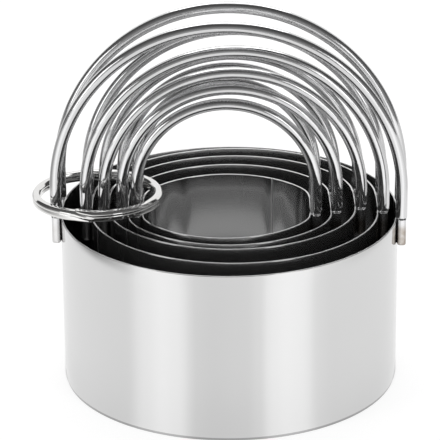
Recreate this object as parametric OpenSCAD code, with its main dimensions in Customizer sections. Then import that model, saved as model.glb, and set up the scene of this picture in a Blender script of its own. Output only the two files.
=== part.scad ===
// Nest of five round biscuit cutters with wire handles, held together by a split ring.
// Each cutter is an open steel band. Two bent wires are welded to its outside as a handle.
// The cutters stand inside each other on one surface, largest outside, a little off centre.
// Millimetres, +Z up. X runs across the handle feet. The base is at z = 0, and the origin
// is the middle of the ground that the whole nest covers.

/* [Cutters] */
// Outside diameter of the largest cutter, front to back
cutter_1_d = 90; // [88:0.5:100]
// Outside diameter of the second cutter, front to back
cutter_2_d = 80.4; // [78:0.2:82]
// Outside diameter of the third cutter, front to back
cutter_3_d = 65.8; // [64:0.2:68]
// Outside diameter of the fourth cutter, front to back
cutter_4_d = 56.6; // [54:0.2:58]
// Outside diameter of the smallest cutter, front to back
cutter_5_d = 45; // [40:0.2:46]
// Height of every cutter
cutter_h = 46; // [30:0.5:60]
// Thickness of the sheet that the bands are rolled from
sheet_t = 0.5; // [0.3:0.05:0.8]
// Thickness left at the ground cutting edge
edge_t = 0.25; // [0.1:0.05:0.25]
// Height of the bevel above the cutting edge
edge_h = 0.8; // [0.4:0.1:2]

/* [Squeeze] */
// How much narrower the largest cutter is across its handle feet
squeeze_1 = 1; // [0:0.1:2]
// How much narrower the second cutter is across its handle feet
squeeze_2 = 4.2; // [0:0.1:4.4]
// How much narrower the third cutter is across its handle feet
squeeze_3 = 0; // [0:0.1:2]
// How much narrower the fourth cutter is across its handle feet
squeeze_4 = 2.4; // [0:0.1:3]
// How much narrower the smallest cutter is across its handle feet
squeeze_5 = 0; // [0:0.1:2]
// Length of the flat wall that carries the feet of the largest cutter
flat_1 = 2; // [1:0.5:12]
// Length of the flat wall that carries the feet of the second cutter
flat_2 = 8; // [1:0.5:12]
// Length of the flat wall that carries the feet of the third cutter
flat_3 = 8; // [1:0.5:12]
// Length of the flat wall that carries the feet of the fourth cutter
flat_4 = 12; // [1:0.5:12]
// Length of the flat wall that carries the feet of the smallest cutter
flat_5 = 10; // [1:0.5:12]

/* [Handles] */
// Diameter of the handle wire
wire_d = 3.1; // [2.5:0.1:3.4]
// Distance between the two wires of a handle, at the feet
wire_spacing = 13; // [10:0.5:14]
// How far each wire leans outwards at the top of its arch
wire_splay = 1.6; // [0:0.1:2]
// Straight leg of the largest handle, from the rim to the start of its arch
leg_h = 7.8; // [6:0.1:14]
// Drop from the top of the largest handle to the second
arch_drop_2 = 7.6; // [6:0.1:8]
// Drop from the top of the second handle to the third
arch_drop_3 = 6.5; // [5:0.1:7]
// Drop from the top of the third handle to the fourth
arch_drop_4 = 3.7; // [3.6:0.1:5]
// Drop from the top of the fourth handle to the smallest
arch_drop_5 = 3.7; // [3.6:0.1:5]
// Thickness of the flattened foot of a wire, square to the band
foot_t = 2.4; // [1.6:0.1:2.4]
// Width of the flattened foot, along the band
foot_w = 3.7; // [3.2:0.1:4.2]
// Length of the foot below the rim
foot_l = 7; // [5:0.5:16]
// How deep the weld joins the foot to the band
weld_depth = 0.1; // [0.05:0.01:0.15]

/* [Nest] */
// Turn of the largest cutter about its own axis, in degrees
turn_1 = -2; // [-3:0.5:3]
// Turn of the second cutter, in degrees
turn_2 = 0; // [-3:0.5:3]
// Turn of the third cutter, in degrees
turn_3 = 1.5; // [-3:0.5:3]
// Turn of the fourth cutter, in degrees
turn_4 = 1; // [-3:0.5:3]
// Turn of the smallest cutter, in degrees
turn_5 = 0; // [-3:0.5:3]
// Share of the free play that moves the second cutter to the right
right_2 = 0.4; // [-0.5:0.05:0.5]
// Share of the free play that moves the second cutter to the back
back_2 = 0.8; // [-0.8:0.05:0.8]
// Share of the free play that moves the third cutter to the right
right_3 = -0.3; // [-0.5:0.05:0.5]
// Share of the free play that moves the third cutter to the back
back_3 = 0.25; // [-0.8:0.05:0.8]
// Share of the free play that moves the fourth cutter to the right
right_4 = -0.25; // [-0.5:0.05:0.5]
// Share of the free play that moves the fourth cutter to the back
back_4 = -0.45; // [-0.8:0.05:0.8]
// Share of the free play that moves the smallest cutter to the right
right_5 = -0.45; // [-0.5:0.05:0.5]
// Share of the free play that moves the smallest cutter to the back
back_5 = -0.25; // [-0.8:0.05:0.8]

/* [Split ring] */
// Width of the ring's flat wire, seen from above
ring_w = 2.2; // [1.6:0.05:3]
// Height of one of its two coils
coil_h = 1.15; // [0.8:0.05:1.4]
// Gap between the two coils
coil_gap = 0.45; // [0.42:0.01:0.8]
// Height of the ring's middle above the rims
ring_rise = 3.3; // [2.8:0.1:5]
// Tilt of the ring, front edge up, in degrees
ring_tilt = 2.3; // [0:0.1:3]
// How far the ring is pushed to the left from the middle of the legs that it holds
ring_left = 0.1; // [0:0.1:2]
// Gap between the ring and the leg that it comes closest to
ring_clearance = 0.4; // [0.3:0.05:1]
// How far each cutter can rise above the next smaller one, before the ring stops it
cutter_lift = 1.8; // [0:0.1:1.8]
// Where the ends of the ring lie, in degrees from the right
ring_ends_at = 260; // [0:0.5:360]
// How far each end reaches past the middle of the crossing, in degrees
ring_overlap = 8; // [4:2:12]
// Stretch in which the wire steps half a coil down, in degrees
ring_step_down = 12; // [12:4:24]

/* [Hidden] */
$fn = 96;

CUTTERS = [0:4];
// The arcs of a band meet exactly where their sizes have few digits.
function neat(x) = round(2500 * x) / 2500;
deep = [for (d = [cutter_1_d, cutter_2_d, cutter_3_d, cutter_4_d, cutter_5_d]) neat(d / 2)];
squeeze = [squeeze_1, squeeze_2, squeeze_3, squeeze_4, squeeze_5];
flat = [for (l = [flat_1, flat_2, flat_3, flat_4, flat_5]) neat(l / 2)];
turn = [turn_1, turn_2, turn_3, turn_4, turn_5];
right = [0, right_2, right_3, right_4, right_5];
back = [0, back_2, back_3, back_4, back_5];
drop = [0, arch_drop_2, arch_drop_3, arch_drop_4, arch_drop_5];
FRONT = -1;
BACK = 1;
wire_r = wire_d / 2;

// A band has a flat wall at each side, behind the feet. An arc at each corner leads from the
// flat wall to one wide arc at the front or back. The two arcs meet where both face 4 across
// and 3 along, and the sides 3, 4 and 5 of that triangle give their radii. The wedges that
// cut the arcs out stand a little over the band.
across = [for (k = CUTTERS) neat(deep[k] - squeeze[k] / 2)];
corner_r = [for (k = CUTTERS) 2 * deep[k] - across[k] - 2 * flat[k]];
end_r = [for (k = CUTTERS) (5 * across[k] - corner_r[k]) / 4];
MEET = [160, 120];
wedge_over = 1;

// A foot stands square on the wall, so its place follows from the flat and the corner arc.
foot_reach = [for (k = CUTTERS) corner_r[k] + foot_t / 2 - weld_depth];
foot_angle = [for (k = CUTTERS) asin(max(0, wire_spacing / 2 - flat[k]) / foot_reach[k])];
half_span = [for (k = CUTTERS)
    across[k] - corner_r[k] + foot_reach[k] * cos(foot_angle[k])];
foot_above_rim = 0.8;
neck_start = 0.2;
neck_h = 1.4;
neck_r = foot_t / 2 - 0.05;

// A leg is a hair thinner than its arch and runs a little way into it, so that the two join
// cleanly. No face of one lies on a face of the other.
leg_r = wire_r - 0.02;
leg_into_arch = 0.5;

// Each arch is a half circle over its own feet, and its top lies below the next larger one.
function arch_top(k) = k == 0 ? leg_h + half_span[0] : arch_top(k - 1) - drop[k];
function leg_length(k) = arch_top(k) - half_span[k];
function lean(k) = asin(wire_splay / arch_top(k));

// The play between a cutter and the next larger one, and the cutter's place in that play
function side_play(k) = across[k - 1] - sheet_t - across[k] - foot_t;
function end_play(k) = deep[k - 1] - sheet_t - deep[k];
function place(k) = k == 0 ? [0, 0]
    : place(k - 1) + [right[k] * side_play(k), back[k] * end_play(k)];

function spun(p, a) = [p.x * cos(a) - p.y * sin(a), p.x * sin(a) + p.y * cos(a)];

// The ring goes round the left legs of all the handles. It rises with the largest cutter, so
// it is sized for where the bent and leaning wires are at the highest point that it reaches.
function wire_x(k, z) = sqrt(pow(half_span[k], 2) - pow(max(0, z - leg_length(k)), 2));
function wire_y(k, z) = wire_spacing / 2 + z * tan(lean(k));
function left_leg(k, side, z) = place(k) + spun([-wire_x(k, z), side * wire_y(k, z)], turn[k]);
outer_pair = (left_leg(0, FRONT, ring_rise) + left_leg(0, BACK, ring_rise)) / 2;
inner_pair = (left_leg(4, FRONT, ring_rise) + left_leg(4, BACK, ring_rise)) / 2;
ring_place = (outer_pair + inner_pair) / 2 - [ring_left, 0];
ring_top = ring_rise + coil_h + coil_gap / 2;
left_legs = [for (k = CUTTERS, side = [FRONT, BACK]) left_leg(k, side, ring_top + k * cutter_lift)];
ring_inner_r = max([for (p = left_legs) norm(p - ring_place)]) + wire_r + ring_clearance;
ring_mid_r = ring_inner_r + ring_w / 2;

// The nest is centred on the ground that it covers, from the ring to the right hand legs.
right_reach = max([for (side = [FRONT, BACK])
    spun([half_span[0] + wire_r, side * wire_y(0, leg_h)], turn_1).x]);
left_reach = ring_place.x - ring_inner_r - ring_w;
middle = [-(left_reach + right_reach) / 2, 0, 0];

module band_section() {
    polygon([
        [-sheet_t, 0], [edge_t - sheet_t, 0], [0, edge_h],
        [0, cutter_h], [-sheet_t, cutter_h]
    ]);
}

// Part of a round band, cut out by a wedge that starts at its centre
module band_arc(centre, r, wedge) {
    translate(centre)
        intersection() {
            rotate([0, 0, 270])
                rotate_extrude()
                    translate([r, 0])
                        band_section();
            translate([0, 0, -wedge_over])
                linear_extrude(height = cutter_h + 2 * wedge_over)
                    polygon([[0, 0], each wedge]);
        }
}

// Open band of sheet steel, bevelled on the outside at its cutting edge
module band(k) {
    corner_x = across[k] - corner_r[k];
    left = [-MEET.x, MEET.y];
    color("#d4d5d6")
        translate(middle + [place(k).x, place(k).y, 0])
            rotate([0, 0, turn[k]])
                for (half = [0, 180])
                    rotate([0, 0, half]) {
                        translate([across[k], flat[k], 0])
                            rotate([90, 0, 0])
                                linear_extrude(height = 2 * flat[k])
                                    band_section();
                        band_arc([corner_x, flat[k]], corner_r[k], [[MEET.x, 0], MEET]);
                        band_arc([0, deep[k] - end_r[k]], end_r[k], [MEET, left]);
                        band_arc([-corner_x, flat[k]], corner_r[k], [left, [left.x, 0]]);
                    }
}

// Flattened end of a wire, a bar with round edges that lies against the band
module foot() {
    translate([0, 0, -foot_l])
        linear_extrude(height = foot_l + foot_above_rim) {
            square([foot_t, foot_w - foot_t], center = true);
            for (side = [-1, 1])
                translate([0, side * (foot_w - foot_t) / 2])
                    circle(d = foot_t);
        }
}

// Straight leg, which narrows to a neck where it runs into the foot
module leg(length) {
    rotate_extrude()
        polygon([[0, 0], [neck_r, 0], [leg_r, neck_h], [leg_r, length], [0, length]]);
}

// One wire of a handle: a foot, a leg and a half circle, then the same on the other side
module handle_wire(k, side) {
    span = half_span[k];
    leg_l = leg_length(k) - neck_start;
    translate(middle + [place(k).x, place(k).y, cutter_h])
        rotate([0, 0, turn[k]])
            translate([0, side * wire_spacing / 2, 0]) {
                translate([span, 0, 0])
                    rotate([0, 0, side * foot_angle[k]])
                        foot();
                translate([-span, 0, 0])
                    rotate([0, 0, -side * foot_angle[k]])
                        foot();
                translate([0, 0, neck_start])
                    rotate([-side * lean(k), 0, 0]) {
                        for (x = [-span, span])
                            translate([x, 0, 0])
                                leg(leg_l + leg_into_arch);
                        translate([0, 0, leg_l])
                            rotate([90, 0, 0])
                                rotate_extrude(angle = 180)
                                    translate([span, 0])
                                        circle(r = wire_r);
                    }
            }
}

module front_wire(k) {
    color("#b9bbbe")
        handle_wire(k, FRONT);
}

module back_wire(k) {
    color("#a9abaf")
        handle_wire(k, BACK);
}

// The split ring is one flat wire in two coils. It starts on top and dives under its own
// start one turn later. Another turn later it ends, under the place where it dived. So three
// layers lie there over each other, and the ends stand half a coil off.
TURN = 360;
RING_STEP = 4;
coil_pitch = coil_h + coil_gap;
ring_stop = 2 * TURN + ring_overlap;
ring_turns = [for (a = [-ring_overlap:RING_STEP:ring_stop]) a];
RING_STEPS = len(ring_turns) - 1;
STEP_STARTS = [ring_overlap, TURN - ring_overlap - ring_step_down, TURN + ring_overlap,
    2 * TURN - ring_overlap - ring_step_down];
function smooth(s) = s * s * (3 - 2 * s);
function down_steps(a, i = 0) = i == len(STEP_STARTS) ? 0
    : smooth(min(1, max(0, (a - STEP_STARTS[i]) / ring_step_down))) + down_steps(a, i + 1);
function coil_z(a) = coil_pitch * (1 - down_steps(a) / 2);
function ring_point(a, across_wire, up) =
    let (r = ring_mid_r + across_wire, t = ring_ends_at + a)
    [r * cos(t), r * sin(t), coil_z(a) + up];

// Section of the flat wire, with its corners rounded off
CORNER = 0.3;
ring_section = [
    [-ring_w / 2 + CORNER, -coil_h / 2], [ring_w / 2 - CORNER, -coil_h / 2],
    [ring_w / 2, -coil_h / 2 + CORNER], [ring_w / 2, coil_h / 2 - CORNER],
    [ring_w / 2 - CORNER, coil_h / 2], [-ring_w / 2 + CORNER, coil_h / 2],
    [-ring_w / 2, coil_h / 2 - CORNER], [-ring_w / 2, -coil_h / 2 + CORNER]
];
SIDES = len(ring_section);
ring_points = [for (a = ring_turns, s = ring_section) ring_point(a, s.x, s.y)];
ring_sides = [for (i = [0:RING_STEPS - 1], j = [0:SIDES - 1])
    let (a = i * SIDES + j, b = i * SIDES + (j + 1) % SIDES)
    each [[a, b, b + SIDES], [a, b + SIDES, a + SIDES]]];
first_end = [for (j = [1:SIDES - 2]) [0, j + 1, j]];
last_start = RING_STEPS * SIDES;
last_end = [for (j = [1:SIDES - 2]) [last_start, last_start + j, last_start + j + 1]];

// The least gap between two coils, measured square to the wire where one lies over the other
function slope(a) = atan((coil_z(a) - coil_z(a + RING_STEP)) / (ring_mid_r * RING_STEP * PI / 180));
coil_gaps = [for (a = ring_turns) if (a + TURN < ring_stop)
    (coil_z(a) - coil_z(a + TURN) - coil_h) * cos(slope(a))];
echo(least_gap_of_the_split_ring = min(coil_gaps));

module split_ring() {
    color("#e3e1dc")
        translate(middle + [ring_place.x, ring_place.y, cutter_h + ring_rise])
            rotate([-ring_tilt, 0, 0])
                polyhedron(points = ring_points, faces = concat(ring_sides, first_end, last_end));
}

for (k = CUTTERS) {
    band(k);
    front_wire(k);
    back_wire(k);
}
split_ring();
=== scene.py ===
import math

import bpy
import numpy as np
from mathutils import Matrix, Vector


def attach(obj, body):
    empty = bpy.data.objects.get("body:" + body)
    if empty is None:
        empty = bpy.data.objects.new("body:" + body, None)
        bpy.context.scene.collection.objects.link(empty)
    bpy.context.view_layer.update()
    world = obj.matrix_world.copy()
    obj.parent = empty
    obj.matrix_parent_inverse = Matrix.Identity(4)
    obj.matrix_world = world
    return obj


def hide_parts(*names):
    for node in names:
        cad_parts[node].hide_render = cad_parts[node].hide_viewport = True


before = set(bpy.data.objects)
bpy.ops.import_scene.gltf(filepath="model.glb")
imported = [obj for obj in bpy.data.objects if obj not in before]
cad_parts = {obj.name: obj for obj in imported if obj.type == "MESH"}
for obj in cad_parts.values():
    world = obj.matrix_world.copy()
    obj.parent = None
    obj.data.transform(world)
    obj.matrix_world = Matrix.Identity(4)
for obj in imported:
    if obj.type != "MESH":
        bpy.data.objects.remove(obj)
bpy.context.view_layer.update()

# Camera: it stands in front of the nest, a little above it, and looks down at 22 degrees
# through a long lens, so that the photograph's frame cuts the foot of the largest cutter.
camera_distance = 0.7633
camera_height_angle = math.radians(22.474)
camera_roll = math.radians(-0.403)
focal_pixels = 2887.17
frame_pixels = 440
axis_pixel = (229.41, 207.91)
rim_middle = Vector((0.00255, 0, 0.046))

back_and_down = Vector((0, math.cos(camera_height_angle), -math.sin(camera_height_angle)))
level_right = Vector((1, 0, 0))
level_up = level_right.cross(back_and_down)
right = level_right * math.cos(camera_roll) + level_up * math.sin(camera_roll)
up = level_up * math.cos(camera_roll) - level_right * math.sin(camera_roll)
to_frame_middle = (back_and_down
                   + right * (frame_pixels / 2 - axis_pixel[0]) / focal_pixels
                   - up * (frame_pixels / 2 - axis_pixel[1]) / focal_pixels).normalized()
camera_right = to_frame_middle.cross(up).normalized()
camera_up = camera_right.cross(to_frame_middle)
camera_data = bpy.data.cameras.new("camera")
camera_data.sensor_width = 36
camera_data.lens = focal_pixels / frame_pixels * camera_data.sensor_width
camera = bpy.data.objects.new("camera", camera_data)
camera.matrix_world = Matrix.Translation(rim_middle - back_and_down * camera_distance) @ Matrix(
    (camera_right, camera_up, -to_frame_middle)).transposed().to_4x4()
bpy.context.scene.collection.objects.link(camera)
bpy.context.scene.camera = camera

# Bands: five strips of rolled stainless sheet, each closed by a fine welded seam. They are
# pressed a little flat at the sides, where the handle feet are spot welded to them. The top
# edge is rounded by tumbling, and the lower edge is ground to a bevel that cuts the dough.
nest_x = 0.00255047
rim_z = 0.046
sheet = 0.0005
cutting_edge = 0.00025
bevel_height = 0.0008
edge_round = 0.00018
half_spacing = 0.0065
seam_groove = 0.00008
seam_half_width = 0.0003
weld_dent = 0.00012
weld_dent_width = 0.0012
weld_dent_heights = (0.036, 0.041)

# Each cutter's place, half widths across and along, half flat wall and arch above the rim in
# millimetres, its turn in degrees, and how far round the band its seam lies, as a share. The
# corner and end radii follow, because the two arcs meet where the wall faces 4 across, 3 along.
CUTTERS = {
    1: dict(at=(0, 0), across=44.5, deep=45, flat=1, turn=-2, arch=53.06, seam=0.02),
    2: dict(at=(1.4, 3.44), across=38.1, deep=40.2, flat=4, turn=0, arch=45.46, seam=0.551),
    3: dict(at=(0.71, 5.14), across=32.9, deep=32.9, flat=4, turn=1.5, arch=38.96, seam=0.49),
    4: dict(at=(-0.015, 3.295), across=27.1, deep=28.3, flat=6, turn=1, arch=35.26, seam=0.51),
    5: dict(at=(-0.78, 1.97), across=22.5, deep=22.5, flat=5, turn=0, arch=31.56, seam=0.124),
}
for size in CUTTERS.values():
    for name in ("across", "deep", "flat", "arch"):
        size[name] *= 0.001
    size["at"] = np.array(size["at"]) * 0.001
    size["corner"] = 2 * size["deep"] - size["across"] - 2 * size["flat"]
    size["end"] = (5 * size["across"] - size["corner"]) / 4


def ease(value, low, high):
    """Smooth step from 0 at low to 1 at high."""
    share = np.clip((value - low) / (high - low), 0, 1)
    return share * share * (3 - 2 * share)


def running_length(points):
    """Length along a row of points, from 0 at the first one."""
    steps = np.linalg.norm(np.diff(points, axis=0), axis=1)
    return np.concatenate([[0], np.cumsum(steps)])


def stand_in_nest(points, size):
    """Turns points about the cutter's own axis by its angle, then moves them to its place."""
    angle = math.radians(size["turn"])
    x = points[..., 0] * math.cos(angle) - points[..., 1] * math.sin(angle)
    y = points[..., 0] * math.sin(angle) + points[..., 1] * math.cos(angle)
    return np.stack([x + size["at"][0] + nest_x, y + size["at"][1], points[..., 2]], -1)


def band_outline(size, shares, half_turn_steps=1440):
    """Point and outward direction at shares 0 to 1 of the way round a band, and the lengths.

    The direction turns evenly on a corner arc, then on the wide end arc from where it faces 4
    across and 3 along, and on the next corner arc. A flat wall follows, and the second half is
    the first turned by half a turn. A point is its arc's centre plus radius times direction.
    """
    corner, end, flat = size["corner"], size["end"], size["flat"]
    side_x = size["across"] - corner
    turns = np.radians(np.linspace(0, 180, half_turn_steps + 1))
    meet = math.atan2(3, 4)
    on_end = (turns > meet) & (turns < np.pi - meet)
    radius = np.where(on_end, end, corner)
    middle_x = np.where(on_end, 0, np.where(turns < np.pi / 2, side_x, -side_x))
    middle_y = np.where(on_end, size["deep"] - end, flat)
    away = np.stack([np.cos(turns), np.sin(turns)], -1)
    half = np.stack([middle_x, middle_y], -1) + radius[:, None] * away
    points = np.concatenate([half, -half, half[:1]])
    away = np.concatenate([away, -away, away[:1]])
    length = running_length(points)
    at = np.asarray(shares) * length[-1]
    place = np.stack([np.interp(at, length, points[:, i]) for i in (0, 1)], -1)
    facing = np.stack([np.interp(at, length, away[:, i]) for i in (0, 1)], -1)
    return place, facing / np.linalg.norm(facing, axis=1)[:, None], at, length[-1]


def band_section(rounding_steps=4, wall_steps=10):
    """Closed section of a band as distance in from the outer wall and height above the base.

    It runs up the outer wall, round the rim by two quarter circles, down the inner wall, and
    back along the cutting edge and the bevel.
    """
    turns = np.radians(np.linspace(0, 90, rounding_steps + 1))
    outer = [(0, z) for z in np.linspace(bevel_height, rim_z - edge_round, wall_steps)]
    top_out = np.stack([edge_round * (1 - np.cos(turns)),
                        rim_z - edge_round * (1 - np.sin(turns))], -1)
    top_in = np.stack([sheet - edge_round * (1 - np.sin(turns)),
                       rim_z - edge_round * (1 - np.cos(turns))], -1)
    inner = [(sheet, z) for z in np.linspace(rim_z - edge_round, 0, wall_steps)]
    foot = [(sheet - cutting_edge, 0)]
    return np.array(outer[:-1] + top_out.tolist() + top_in.tolist() + inner[1:] + foot)


def skin(name, points, along, around, closed_along, crease=math.radians(38)):
    """Mesh of a grid of points, closed around, with its own UV map in metres.

    Row i of the grid is one section of the piece. Its last section joins the first where
    the piece is closed along its length, and otherwise each end gets a flat cap.
    """
    rows, columns = points.shape[:2]
    last = rows if closed_along else rows - 1
    i, j = np.meshgrid(np.arange(last), np.arange(columns), indexing="ij")
    next_i, next_j = (i + 1) % rows, (j + 1) % columns
    quads = np.stack([i * columns + j, next_i * columns + j,
                      next_i * columns + next_j, i * columns + next_j], -1).reshape(-1, 4)
    faces = quads.tolist()
    if not closed_along:
        faces.append(list(range(columns)))
        faces.append(list(range(rows * columns - 1, (rows - 1) * columns - 1, -1)))
    mesh = bpy.data.meshes.new(name)
    mesh.from_pydata(points.reshape(-1, 3).tolist(), [], faces)
    u = np.stack([along[i], along[i + 1], along[i + 1], along[i]], -1)
    v = np.stack([around[j], around[j], around[j + 1], around[j + 1]], -1)
    layer = mesh.uv_layers.new(name="UVMap")
    flat_uv = np.zeros((len(mesh.loops), 2))
    flat_uv[:u.size] = np.stack([u.ravel(), v.ravel()], -1)
    layer.data.foreach_set("uv", flat_uv.ravel())
    mesh.shade_smooth()
    mesh.set_sharp_from_angle(angle=crease)
    piece = bpy.data.objects.new(name, mesh)
    bpy.context.scene.collection.objects.link(piece)
    return piece


def add(tree, kind, **values):
    """New node in a tree. A value goes to the node's property or to the socket of that name."""
    node = tree.nodes.new(kind)
    for name, value in values.items():
        if hasattr(node, name):
            setattr(node, name, value)
        else:
            node.inputs[name.replace("_", " ")].default_value = value
    return node


def calc(tree, operation, first=None, second=None, third=None, clamp=False):
    """New math node, whose fixed inputs take the numbers given."""
    node = add(tree, "ShaderNodeMath", operation=operation, use_clamp=clamp)
    for socket, number in zip(node.inputs, (first, second, third)):
        if number is not None:
            socket.default_value = number
    return node


def between(tree, low, high, at_low, at_high, smooth=True):
    """New node that goes from one value at low to another at high and holds them beyond."""
    node = add(tree, "ShaderNodeMapRange", clamp=True,
               interpolation_type="SMOOTHSTEP" if smooth else "LINEAR")
    for name, value in (("From Min", low), ("From Max", high),
                        ("To Min", at_low), ("To Max", at_high)):
        node.inputs[name].default_value = value
    return node


MIX_FIRST, MIX_SECOND, MIX_RESULT = 6, 7, 2


def mixer(tree, blend_type="MIX", factor=None, first=None, second=None):
    """New colour mix node, with a fixed factor, first colour or second colour where given."""
    node = add(tree, "ShaderNodeMix", data_type="RGBA", blend_type=blend_type)
    if factor is not None:
        node.inputs["Factor"].default_value = factor
    for socket, colour in ((MIX_FIRST, first), (MIX_SECOND, second)):
        if colour is not None:
            node.inputs[socket].default_value = (*colour, 1)
    return node


def wire_up(tree, pairs):
    """Joins each pair of an output and an input."""
    for source, target in pairs:
        tree.links.new(source, target)


def shader_group(name, inputs, outputs):
    """Empty shader node group with the named inputs and outputs, and its two end nodes."""
    group = bpy.data.node_groups.new(name, "ShaderNodeTree")
    for title, kind, value in inputs:
        socket = group.interface.new_socket(name=title, in_out="INPUT", socket_type=kind)
        if value is not None:
            socket.default_value = value
    for title, kind in outputs:
        group.interface.new_socket(name=title, in_out="OUTPUT", socket_type=kind)
    return group, group.nodes.new("NodeGroupInput"), group.nodes.new("NodeGroupOutput")


# Metal grain: the rolling or drawing lines of the metal, which run along its length. Noise
# that is stretched along the lines gives fine scratches, and a wider noise gives handling.
grain, grain_in, grain_out = shader_group(
    "metal grain",
    [("Vector", "NodeSocketVector", None), ("Stretch", "NodeSocketVector", None),
     ("Roughness", "NodeSocketFloat", 0.2), ("Scratch", "NodeSocketFloat", 0.05),
     ("Smudge", "NodeSocketFloat", 0.05)],
    [("Roughness", "NodeSocketFloat"), ("Height", "NodeSocketFloat"),
     ("Shade", "NodeSocketFloat")])
noise_middle = 0.5
stretch = add(grain, "ShaderNodeVectorMath", operation="MULTIPLY")
lines = add(grain, "ShaderNodeTexNoise", Scale=1.0, Detail=3.0, Roughness=0.6)
smudges = add(grain, "ShaderNodeTexNoise", Scale=55.0, Detail=4.0, Roughness=0.55)
centre_lines = calc(grain, "SUBTRACT", second=noise_middle)
centre_smudges = calc(grain, "SUBTRACT", second=noise_middle)
scratch_part = calc(grain, "MULTIPLY")
smudge_part = calc(grain, "MULTIPLY")
with_scratches = calc(grain, "ADD")
with_smudges = calc(grain, "ADD", clamp=True)
shade = calc(grain, "MULTIPLY_ADD", second=-0.5, third=1.0)
wire_up(grain, (
    (grain_in.outputs["Vector"], stretch.inputs[0]),
    (grain_in.outputs["Stretch"], stretch.inputs[1]),
    (stretch.outputs[0], lines.inputs["Vector"]),
    (grain_in.outputs["Vector"], smudges.inputs["Vector"]),
    (lines.outputs[0], centre_lines.inputs[0]),
    (smudges.outputs[0], centre_smudges.inputs[0]),
    (centre_lines.outputs[0], scratch_part.inputs[0]),
    (grain_in.outputs["Scratch"], scratch_part.inputs[1]),
    (centre_smudges.outputs[0], smudge_part.inputs[0]),
    (grain_in.outputs["Smudge"], smudge_part.inputs[1]),
    (grain_in.outputs["Roughness"], with_scratches.inputs[0]),
    (scratch_part.outputs[0], with_scratches.inputs[1]),
    (with_scratches.outputs[0], with_smudges.inputs[0]),
    (smudge_part.outputs[0], with_smudges.inputs[1]),
    (smudge_part.outputs[0], shade.inputs[0]),
    (with_smudges.outputs[0], grain_out.inputs["Roughness"]),
    (lines.outputs[0], grain_out.inputs["Height"]),
    (shade.outputs[0], grain_out.inputs["Shade"])))


def metal(name, colour, roughness, haze, stretch_by, scratch, smudge, depth):
    """Metal whose roughness, shade and bump come from the grain group.

    The haze is the small share of the light that its fine scratches scatter evenly. Returns
    the material, and its nodes by name for what a piece adds to them.
    """
    material = bpy.data.materials.new(name)
    material.use_nodes = True
    tree = material.node_tree
    shader = tree.nodes["Principled BSDF"]
    shader.inputs["Metallic"].default_value = 1 - haze
    where = add(tree, "ShaderNodeTexCoord")
    pattern = add(tree, "ShaderNodeGroup", node_tree=grain, Stretch=stretch_by,
                  Roughness=roughness, Scratch=scratch, Smudge=smudge)
    tint = mixer(tree, "MULTIPLY", factor=1.0, first=colour)
    relief = add(tree, "ShaderNodeBump", Strength=1.0, Distance=depth)
    wire_up(tree, (
        (where.outputs["UV"], pattern.inputs["Vector"]),
        (pattern.outputs["Shade"], tint.inputs[MIX_SECOND]),
        (tint.outputs[MIX_RESULT], shader.inputs["Base Color"]),
        (pattern.outputs["Roughness"], shader.inputs["Roughness"]),
        (pattern.outputs["Height"], relief.inputs["Height"]),
        (relief.outputs["Normal"], shader.inputs["Normal"])))
    return material, dict(tree=tree, shader=shader, where=where, pattern=pattern, tint=tint,
                          relief=relief)


# Sheet steel: rolled along the band, a little rougher on the weld seam, with a painted shade
# that darkens its colour low down on the inside, and with a faint upright ripple. Its UV runs
# from the seam round the band, and up the outside and down the inside, both in metres.
seam_mark = (0.0004, 0.0001)
seam_adds_roughness = 0.3
# Painted shade low down on the inside: where along the section it begins, and the share of the
# colour that stays.
painted_shade_starts = (0.082, 0.0835)
painted_shade_level = 0.6
ripple_stretch = (230, 3, 1)
ripple_depth = 0.00003
sheet_steel, nodes = metal("rolled sheet steel", (0.67, 0.67, 0.67), roughness=0.11, haze=0.018,
                           stretch_by=(12, 2500, 1), scratch=0.05, smudge=0.05, depth=2e-7)
tree, shader, where = nodes["tree"], nodes["shader"], nodes["where"]
shader.inputs["Anisotropic"].default_value = 0.4
shader.inputs["Anisotropic Rotation"].default_value = 0.25
along_band = add(tree, "ShaderNodeTangent", direction_type="UV_MAP", uv_map="UVMap")
along_sheet = add(tree, "ShaderNodeSeparateXYZ")
from_seam = calc(tree, "ABSOLUTE")
on_seam = between(tree, *seam_mark, 0.0, 1.0)
seam_roughness = calc(tree, "MULTIPLY_ADD", second=seam_adds_roughness)
# Painted shade: the colour darkens to this level low down on the inner wall and the bevel.
painted_shade_ramp = between(tree, *painted_shade_starts, 1.0, painted_shade_level)
painted_shade_tint = mixer(tree, "MULTIPLY", factor=1.0)
upright = add(tree, "ShaderNodeVectorMath", operation="MULTIPLY")
upright.inputs[1].default_value = ripple_stretch
uneven = add(tree, "ShaderNodeTexNoise", Scale=1.0, Detail=3.0, Roughness=0.55)
ripple = add(tree, "ShaderNodeBump", Strength=1.0, Distance=ripple_depth)
wire_up(tree, (
    (along_band.outputs[0], shader.inputs["Tangent"]),
    (where.outputs["UV"], along_sheet.inputs[0]),
    (along_sheet.outputs["X"], from_seam.inputs[0]),
    (from_seam.outputs[0], on_seam.inputs["Value"]),
    (on_seam.outputs[0], seam_roughness.inputs[0]),
    (nodes["pattern"].outputs["Roughness"], seam_roughness.inputs[2]),
    (seam_roughness.outputs[0], shader.inputs["Roughness"]),
    (along_sheet.outputs["Y"], painted_shade_ramp.inputs["Value"]),
    (nodes["tint"].outputs[MIX_RESULT], painted_shade_tint.inputs[MIX_FIRST]),
    (painted_shade_ramp.outputs[0], painted_shade_tint.inputs[MIX_SECOND]),
    (painted_shade_tint.outputs[MIX_RESULT], shader.inputs["Base Color"]),
    (where.outputs["UV"], upright.inputs[0]),
    (upright.outputs[0], uneven.inputs["Vector"]),
    (uneven.outputs[0], ripple.inputs["Height"]),
    (ripple.outputs["Normal"], nodes["relief"].inputs["Normal"])))

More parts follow.
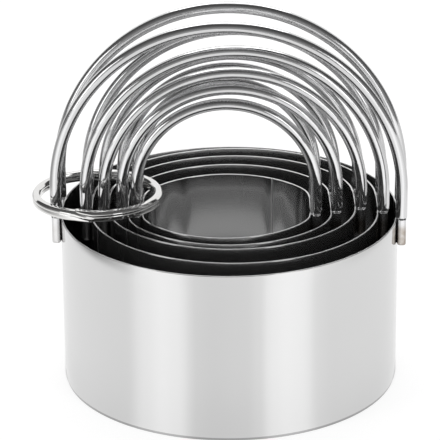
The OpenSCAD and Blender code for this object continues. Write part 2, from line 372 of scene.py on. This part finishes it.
columns_round = 360
section = band_section()
section_length = running_length(np.concatenate([section, section[:1]]))
even_shares = np.arange(columns_round) / columns_round
across_seam = np.linspace(-1.5, 1.5, 13) * seam_half_width
for number, size in CUTTERS.items():
    near_seam = size["seam"] + across_seam / (6 * size["deep"])
    shares = np.unique(np.concatenate([even_shares, near_seam % 1]))
    place, facing, length, whole = band_outline(size, shares)
    seam_distance = np.abs(length - size["seam"] * whole)
    groove = seam_groove * np.exp(-(seam_distance / (seam_half_width / 2)) ** 2)
    beside_foot = np.abs(np.abs(place[:, 1]) - half_spacing) / weld_dent_width
    high_up = ease(section[:, 1], *weld_dent_heights)
    dent = weld_dent * np.exp(-beside_foot ** 2)[:, None] * high_up[None]
    outer_side = np.where(section[:, 0] < sheet / 2, 1, -1) * (section[:, 1] > bevel_height)
    inset = section[None, :, 0] + groove[:, None] * outer_side[None] + dent
    points = np.concatenate([
        place[:, None] - facing[:, None] * inset[..., None],
        np.broadcast_to(section[None, :, 1:], (len(shares), len(section), 1))], -1)
    piece = skin(f"band_{number}_sheet", stand_in_nest(points, size),
                 np.append(length, whole) - size["seam"] * whole, section_length, True)
    piece.data.materials.append(sheet_steel)
    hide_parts(f"band_{number}")
    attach(piece, f"cutter_{number}")

# Handle wires: ten lengths of polished stainless wire, two to a cutter. Each is bent to an
# arch that leans outwards a little, two of them more or less than the rest through use. Both
# ends are pressed flat and spot welded to the outside of the band, from the rim down.
wire_radius = 0.00155
foot_length = 0.007
foot_half_thickness = 0.0012
foot_half_width = 0.00185
foot_squareness = 0.35
foot_fades = (0.0001, 0.0006)
END_ROUNDING = ((0, 0.8), (0.00008, 0.93), (0.0003, 1))
fine_stretch = 0.0008
last_on_foot = -0.0003
first_on_leg = 0.0012
splay = 0.0016
BENT_BY_USE = {("back", 2): 0.003, ("back", 3): 0.0}
weld_depth = 0.0001


def wire_points(size, side, splay, arch_steps=120, columns=40):
    """Sections of one wire: an upright foot, a leg, a half circle, a leg and a foot.

    Each section is a circle on the wire. It eases to a flat oval on the foot, whose powers
    of the cosine and sine make its faces flatter, and it turns there to face the band. Next to
    the end of a foot its size follows the end rounding: height above the end, share of size.
    The sections stand close together on the fine stretch, where the foot becomes round.
    """
    reach = size["corner"] + foot_half_thickness - weld_depth
    foot_turn = math.asin(max(0, half_spacing - size["flat"]) / reach)
    span = size["across"] - size["corner"] + reach * math.cos(foot_turn)
    leg = size["arch"] - span
    lean = math.asin(splay / size["arch"])
    end_heights = [height - foot_length for height, share in END_ROUNDING]
    end_shares = [share for height, share in END_ROUNDING]
    foot_z = np.concatenate([
        end_heights, np.linspace(-foot_length + fine_stretch, last_on_foot, 14)])
    leg_z = np.concatenate([
        np.linspace(0, fine_stretch, 16), np.linspace(first_on_leg, leg, 8)])
    rise = np.concatenate([foot_z, leg_z])
    bend = np.linspace(0, np.pi, arch_steps + 1)[1:-1]
    x = np.concatenate([np.full(len(rise), -span), -span * np.cos(bend),
                        np.full(len(rise), span)])
    height = np.concatenate([rise, leg + span * np.sin(bend), rise[::-1]])
    turned = np.concatenate([np.zeros(len(rise)), bend, np.full(len(rise), np.pi)])
    above = np.maximum(height, 0)
    flatness = 1 - ease(height, *foot_fades)
    end_round = np.interp(height, end_heights, end_shares)
    half_out = (wire_radius + (foot_half_thickness - wire_radius) * flatness) * end_round
    half_side = (wire_radius + (foot_half_width - wire_radius) * flatness) * end_round
    power = 1 - foot_squareness * flatness
    face = foot_turn * flatness * side * np.where(x < 0, 1, -1)
    out = np.stack([-np.cos(turned) * np.cos(face), -np.cos(turned) * np.sin(face),
                    np.sin(turned)], -1)
    sideways = np.stack([-np.sin(face), np.cos(face), np.zeros(len(face))], -1)
    centre = np.stack([x, side * (half_spacing + above * math.sin(lean)),
                       rim_z + np.minimum(height, 0) + above * math.cos(lean)], -1)
    turn = np.linspace(0, 2 * np.pi, columns, endpoint=False)
    across = np.sign(np.cos(turn)) * np.abs(np.cos(turn)) ** power[:, None] * half_out[:, None]
    along = np.sign(np.sin(turn)) * np.abs(np.sin(turn)) ** power[:, None] * half_side[:, None]
    points = (centre[:, None] + out[:, None] * across[..., None]
              + sideways[:, None] * along[..., None])
    around = np.linspace(0, 2 * np.pi, columns + 1) * wire_radius
    return points, running_length(centre), around


# Wire steel: drawn wire with fine lines along it. The welding has tinted the right feet
# straw brown in patches, and the left feet hardly at all.
tint_heights = (0.0455, 0.0425)
tint_sides = (-0.005, 0.02)
tint_strengths = (0.18, 0.95)
patch_strengths = (0.55, 1.0)
STRAW = (0.37, 0.32, 0.27)
wire_steel, nodes = metal("polished wire", (0.72, 0.72, 0.725), roughness=0.06, haze=0.045,
                          stretch_by=(14, 2300, 1), scratch=0.1, smudge=0.05, depth=3.5e-5)
tree = nodes["tree"]
parts = add(tree, "ShaderNodeSeparateXYZ")
low = between(tree, *tint_heights, 0.0, 1.0)
on_right = between(tree, *tint_sides, *tint_strengths, smooth=False)
patches = add(tree, "ShaderNodeTexNoise", Scale=420.0, Detail=2.0)
patchy = between(tree, 0.3, 0.6, *patch_strengths, smooth=False)
heat = calc(tree, "MULTIPLY")
heated = calc(tree, "MULTIPLY", clamp=True)
straw = mixer(tree, second=STRAW)
wire_up(tree, (
    (nodes["where"].outputs["Object"], parts.inputs[0]),
    (nodes["where"].outputs["Object"], patches.inputs["Vector"]),
    (parts.outputs["Z"], low.inputs["Value"]),
    (parts.outputs["X"], on_right.inputs["Value"]),
    (patches.outputs[0], patchy.inputs["Value"]),
    (low.outputs[0], heat.inputs[0]),
    (on_right.outputs[0], heat.inputs[1]),
    (heat.outputs[0], heated.inputs[0]),
    (patchy.outputs[0], heated.inputs[1]),
    (heated.outputs[0], straw.inputs["Factor"]),
    (nodes["tint"].outputs[MIX_RESULT], straw.inputs[MIX_FIRST]),
    (straw.outputs[MIX_RESULT], nodes["shader"].inputs["Base Color"])))

for number, size in CUTTERS.items():
    for side, name in ((-1, "front"), (1, "back")):
        leans_out = BENT_BY_USE.get((name, number), splay)
        points, length, around = wire_points(size, side, leans_out)
        piece = skin(f"{name}_wire_{number}_bent", stand_in_nest(points, size), length, around,
                     False)
        piece.data.materials.append(wire_steel)
        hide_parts(f"{name}_wire_{number}")
        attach(piece, f"cutter_{number}")

# Split ring: one flat nickel-plated wire wound twice, with its coils pressed together. It is
# tumbled, so that its upper outer edges are wide bevels. It starts on top and dives under its
# own start one turn later, and both of its ends are hammered thin.
ring_middle = np.array([-0.0348645 + nest_x, 0.001775, 0.0493])
ring_radius = 0.01615
ring_tilt = math.radians(-2.3)
ring_half_width = 0.0011
coil_half_height = 0.00067
thin_end = 0.25
ends_at = math.radians(260.1)
overlap = math.radians(8.4)
narrowest_end = 0.02
ring_girth = 0.006
TIP_SHARES = (0.02, 0.1, 0.22, 0.4, 0.62, 0.85)

# Half sections of the two coils, from the middle of the top round the side to the middle of
# the foot: share of the half width, and share of the height.
UPPER_COIL = ((0, 1), (0.3, 0.997), (0.5, 0.98), (0.58, 0.94), (0.7, 0.81), (0.82, 0.66),
              (0.94, 0.52), (0.985, 0.44), (1, 0.36), (1, 0.06), (0.97, 0), (0.5, 0), (0, 0))
LOWER_COIL = ((0, 1), (0.5, 1), (0.97, 1), (1, 0.94), (1, 0.8), (1, 0.6), (1, 0.4),
              (0.985, 0.25), (0.94, 0.14), (0.86, 0.05), (0.74, 0.01), (0.5, 0), (0, 0))


def ring_points(steps=560):
    """Sections of the ring wire: a bevelled section carried twice round a circle.

    The level of a section is 1 on the upper coil and 0 on the lower one, and falls evenly
    through the stretch where three layers lie over each other. The first and the last layer
    are wedges there, whose thickness grows evenly from a thin end, and they rest on the
    layer that dives. The section is bevelled at the top on the upper coil and a little at
    the foot on the lower one, and blends between the two. Each end narrows as a half circle.
    """
    turn = np.linspace(-overlap, 4 * np.pi + overlap, steps)
    tip = np.array(TIP_SHARES) * ring_half_width / ring_radius
    turn = np.unique(np.concatenate([turn, turn[0] + tip, turn[-1] - tip]))
    dive = 1 - np.clip((turn - 2 * np.pi + overlap) / (2 * overlap), 0, 1)
    from_start = np.clip((turn + overlap) / (2 * overlap), 0, 1)
    from_end = np.clip((4 * np.pi + overlap - turn) / (2 * overlap), 0, 1)
    thick = 2 * coil_half_height
    foot = thick * (dive - 1) + thick * (1 - from_start)
    height = thick * (thin_end + (1 - thin_end) * np.minimum(from_start, from_end))
    foot = np.where(from_end < 1, -thick - (height - thick * from_end), foot)
    to_end = np.minimum(turn - turn[0], turn[-1] - turn) * ring_radius
    from_tip = np.clip(to_end / ring_half_width, 0, 1)
    narrow = np.sqrt(np.maximum(narrowest_end, 1 - (1 - from_tip) ** 2))
    angle = ends_at + turn
    out = np.stack([np.cos(angle), np.sin(angle), np.zeros(len(angle))], -1)
    upper, lower = np.array(UPPER_COIL), np.array(LOWER_COIL)
    half = lower + (upper - lower) * np.clip(1.5 * dive - 0.25, 0, 1)[:, None, None]
    loop = np.concatenate([half, half[:, -2:0:-1] * (-1, 1)], 1)
    across = loop[..., 0] * ring_half_width * narrow[:, None]
    rise = foot[:, None] + loop[..., 1] * height[:, None]
    points = (out[:, None] * (ring_radius + across)[..., None]
              + np.array([0, 0, 1]) * rise[..., None])
    tilted_y = points[..., 1] * math.cos(ring_tilt) - points[..., 2] * math.sin(ring_tilt)
    tilted_z = points[..., 1] * math.sin(ring_tilt) + points[..., 2] * math.cos(ring_tilt)
    points = np.stack([points[..., 0], tilted_y, tilted_z], -1)[:, ::-1]
    around = np.linspace(0, ring_girth, loop.shape[1] + 1)
    return points + ring_middle, turn * ring_radius, around


ring_nickel, nodes = metal("nickel plate", (0.78, 0.775, 0.765), roughness=0.05, haze=0.045,
                           stretch_by=(60, 3000, 1), scratch=0.05, smudge=0.05, depth=1e-6)
points, length, around = ring_points()
piece = skin("split_ring_coils", points, length, around, False)
piece.data.materials.append(ring_nickel)
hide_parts("split_ring")
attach(piece, "ring")

# Floor: a plain white table top. Part of its white is its own glow, and the rest is lit by
# the lamps, so it keeps the soft shadow of the nest. Inside the nest its colour is darker,
# a painted shade. The metal mirrors its glow as two pools of light in front of the nest, dim
# at the sides far out and dim between the cutters, and as a painted pool of light in the
# smallest cutter.
floor_half = 3
pool_radius = 0.045
nest_edge = (0.0438, 0.045)
far_floor = (0.15, 0.185)
inner_middle = (nest_x - 0.0008, 0.003, 0)
inner_edge = (0.019, 0.0235)
inner_levels = (0.39, 0.06)
# Painted shade: the table's colour is darker inside the nest than outside it.
painted_shade_in_nest, table_outside = 0.08, 0.3
camera_glow, metal_glow = 0.8, 1.3

# Light on the floor by bearing: the pools as (degrees to the right of the front, level), and
# what stays of it far out as (share of the turn from the back over the left, level).
POOLS = ((-180, 0.57), (-64, 0.58), (-38, 0.56), (-30, 0.72), (-23.5, 0.79), (-18, 0.76),
         (-11, 0.54), (-6, 0.52), (5, 0.54), (9.5, 0.6), (14, 0.77), (19, 0.81), (24.5, 0.79),
         (32, 0.6), (37, 0.57), (180, 0.57))
FAR_OUT = ((0, 0.75), (0.13, 0.6), (0.19, 0.2), (0.25, 0.15), (0.31, 0.65), (0.35, 1),
           (0.68, 1), (0.77, 0.72), (1, 0.75))


def ramp(tree, stops):
    """Colour ramp of greys through (place, grey) stops."""
    node = add(tree, "ShaderNodeValToRGB")
    for place, level in stops[1:-1]:
        node.color_ramp.elements.new(place)
    for stop, (place, level) in zip(node.color_ramp.elements, stops):
        stop.position = place
        stop.color = (level, level, level, 1)
    return node


floor_mesh = bpy.data.meshes.new("table_top")
floor_mesh.from_pydata([(-floor_half, -floor_half, 0), (floor_half, -floor_half, 0),
                        (floor_half, floor_half, 0), (-floor_half, floor_half, 0)],
                       [], [(0, 1, 2, 3)])
floor = bpy.data.objects.new("table_top", floor_mesh)
bpy.context.scene.collection.objects.link(floor)
floor_white = bpy.data.materials.new("table white")
floor_white.use_nodes = True
tree = floor_white.node_tree
shader = tree.nodes["Principled BSDF"]
shader.inputs["Roughness"].default_value = 0.9
shader.inputs["Specular IOR Level"].default_value = 0.0
shader.inputs["Emission Color"].default_value = (1, 1, 1, 1)

# The bearing of a spot on the floor, from 0 to 1 with the front at a half. What the upright
# wall of the largest cutter mirrors there stands on the wall at the bearing over two less
# the radius shares, so the pools are drawn over that, and their edges stand upright on it.
ray = add(tree, "ShaderNodeLightPath")
where = add(tree, "ShaderNodeTexCoord")
from_middle = add(tree, "ShaderNodeVectorMath", operation="SUBTRACT")
from_middle.inputs[1].default_value = (nest_x, 0, 0)
from_axis = add(tree, "ShaderNodeVectorMath", operation="LENGTH")
parts = add(tree, "ShaderNodeSeparateXYZ")
to_front = calc(tree, "MULTIPLY", second=-1.0)
bearing = calc(tree, "ARCTAN2")
share_of_turn = calc(tree, "MULTIPLY_ADD", second=0.5 / math.pi, third=0.5)
nearness = calc(tree, "DIVIDE", first=pool_radius)
spread = calc(tree, "SUBTRACT", first=2.0)
wall_bearing = calc(tree, "DIVIDE")
share_of_wall = calc(tree, "MULTIPLY_ADD", second=0.5 / math.pi, third=0.5)
pools = ramp(tree, [(0.5 + degrees / 360, level) for degrees, level in POOLS])
pools.color_ramp.interpolation = "EASE"
sideways = ramp(tree, FAR_OUT)
far = between(tree, *far_floor, 0.0, 1.0)
fade = mixer(tree, first=(1, 1, 1))
pooled = mixer(tree, "MULTIPLY", factor=1.0)
outside = between(tree, *nest_edge, 0.0, 1.0)
lit_inside = add(tree, "ShaderNodeVectorMath", operation="DISTANCE")
lit_inside.inputs[1].default_value = inner_middle
inner_light = between(tree, *inner_edge, *inner_levels)
inside_nest = mixer(tree)
table_tone_with_painted_shade = mixer(tree, first=(painted_shade_in_nest,) * 3, second=(table_outside,) * 3)
seen_by_camera = calc(tree, "MULTIPLY", second=camera_glow)
seen_by_metal = calc(tree, "MULTIPLY")
glow = calc(tree, "MULTIPLY_ADD", second=metal_glow)
wire_up(tree, (
    (where.outputs["Object"], from_middle.inputs[0]),
    (where.outputs["Object"], lit_inside.inputs[0]),
    (from_middle.outputs[0], parts.inputs[0]),
    (from_middle.outputs[0], from_axis.inputs[0]),
    (parts.outputs["X"], bearing.inputs[0]),
    (parts.outputs["Y"], to_front.inputs[0]),
    (to_front.outputs[0], bearing.inputs[1]),
    (bearing.outputs[0], share_of_turn.inputs[0]),
    (from_axis.outputs["Value"], nearness.inputs[1]),
    (nearness.outputs[0], spread.inputs[1]),
    (bearing.outputs[0], wall_bearing.inputs[0]),
    (spread.outputs[0], wall_bearing.inputs[1]),
    (wall_bearing.outputs[0], share_of_wall.inputs[0]),
    (share_of_wall.outputs[0], pools.inputs[0]),
    (share_of_turn.outputs[0], sideways.inputs[0]),
    (from_axis.outputs["Value"], far.inputs["Value"]),
    (far.outputs[0], fade.inputs["Factor"]),
    (sideways.outputs[0], fade.inputs[MIX_SECOND]),
    (pools.outputs[0], pooled.inputs[MIX_FIRST]),
    (fade.outputs[MIX_RESULT], pooled.inputs[MIX_SECOND]),
    (from_axis.outputs["Value"], outside.inputs["Value"]),
    (lit_inside.outputs["Value"], inner_light.inputs["Value"]),
    (outside.outputs[0], inside_nest.inputs["Factor"]),
    (inner_light.outputs[0], inside_nest.inputs[MIX_FIRST]),
    (pooled.outputs[MIX_RESULT], inside_nest.inputs[MIX_SECOND]),
    (outside.outputs[0], table_tone_with_painted_shade.inputs["Factor"]),
    (table_tone_with_painted_shade.outputs[MIX_RESULT], shader.inputs["Base Color"]),
    (ray.outputs["Is Camera Ray"], seen_by_camera.inputs[0]),
    (ray.outputs["Is Glossy Ray"], seen_by_metal.inputs[0]),
    (inside_nest.outputs[MIX_RESULT], seen_by_metal.inputs[1]),
    (seen_by_metal.outputs[0], glow.inputs[0]),
    (seen_by_camera.outputs[0], glow.inputs[2]),
    (glow.outputs[0], shader.inputs["Emission Strength"])))
floor_mesh.materials.append(floor_white)

# Studio: a white backdrop behind the nest and a dim room in front of it, darkest high up,
# which the polished wires mirror as their dark lines. Two tall soft boxes at the sides light
# the nest and aren't mirrored, and two low ones and one behind draw highlights on the metal.
plain_light = (0.6, 0.6, 0.6)
backdrop_spread, horizon_spread = 0.8, 0.35

# Level that the metal mirrors, over the angle from the floor line in front (0) over straight
# up (a half) to the backdrop (1).
ROOM = ((0.0, 0.4), (0.1, 0.28), (0.2, 0.13), (0.3, 0.06), (0.4, 0.045), (0.5, 0.06),
        (0.56, 1.0), (1.0, 1.0))
world = bpy.data.worlds.new("white surround")
world.use_nodes = True
bpy.context.scene.world = world
tree = world.node_tree
ray = add(tree, "ShaderNodeLightPath")
facing = add(tree, "ShaderNodeTexCoord")
parts = add(tree, "ShaderNodeSeparateXYZ")
to_front = calc(tree, "MULTIPLY", second=-1.0)
aside = calc(tree, "ABSOLUTE")
before_backdrop = calc(tree, "MULTIPLY_ADD", second=backdrop_spread)
above_horizon = calc(tree, "MULTIPLY_ADD", second=horizon_spread)
front_up = calc(tree, "ARCTAN2")
half_turn = calc(tree, "DIVIDE", second=math.pi, clamp=True)
room = ramp(tree, ROOM)
only_glossy = mixer(tree, first=plain_light)
white_seen = mixer(tree, second=(1, 1, 1))
wire_up(tree, (
    (facing.outputs["Generated"], parts.inputs[0]),
    (parts.outputs["Y"], to_front.inputs[0]),
    (parts.outputs["X"], aside.inputs[0]),
    (aside.outputs[0], before_backdrop.inputs[0]),
    (to_front.outputs[0], before_backdrop.inputs[2]),
    (aside.outputs[0], above_horizon.inputs[0]),
    (parts.outputs["Z"], above_horizon.inputs[2]),
    (above_horizon.outputs[0], front_up.inputs[0]),
    (before_backdrop.outputs[0], front_up.inputs[1]),
    (front_up.outputs[0], half_turn.inputs[0]),
    (half_turn.outputs[0], room.inputs[0]),
    (ray.outputs["Is Glossy Ray"], only_glossy.inputs["Factor"]),
    (room.outputs[0], only_glossy.inputs[MIX_SECOND]),
    (ray.outputs["Is Camera Ray"], white_seen.inputs["Factor"]),
    (only_glossy.outputs[MIX_RESULT], white_seen.inputs[MIX_FIRST]),
    (white_seen.outputs[MIX_RESULT], tree.nodes["Background"].inputs["Color"])))


def soft_box(name, place, aim, width, height, power, mirrored=True):
    """Rectangular lamp that faces a point, and that the metal mirrors or not."""
    lamp_data = bpy.data.lights.new(name, "AREA")
    lamp_data.shape = "RECTANGLE"
    lamp_data.size, lamp_data.size_y, lamp_data.energy = width, height, power
    lamp = bpy.data.objects.new(name, lamp_data)
    direction = Vector(aim) - Vector(place)
    turned = direction.to_track_quat("-Z", "Y").to_matrix().to_4x4()
    lamp.matrix_world = Matrix.Translation(place) @ turned
    lamp.visible_glossy = mirrored
    bpy.context.scene.collection.objects.link(lamp)


soft_box("left_soft_box", (-0.95, -0.6, 1.3), (0, 0, 0.03), 0.4, 0.9, 2.0, mirrored=False)
soft_box("right_soft_box", (0.62, -0.85, 1.2), (0, 0, 0.03), 0.3, 0.9, 1.5, mirrored=False)
soft_box("left_low_box", (-0.95, -0.6, 0.33), (0, 0, 0.06), 0.4, 0.5, 1.1)
soft_box("right_low_box", (0.62, -0.85, 0.33), (0, 0, 0.06), 0.3, 0.5, 0.8)
soft_box("back_soft_box", (0, 0.62, 0.95), (0, 0, 0.05), 0.9, 0.6, 3)

bpy.context.scene.view_settings.view_transform = "Standard"
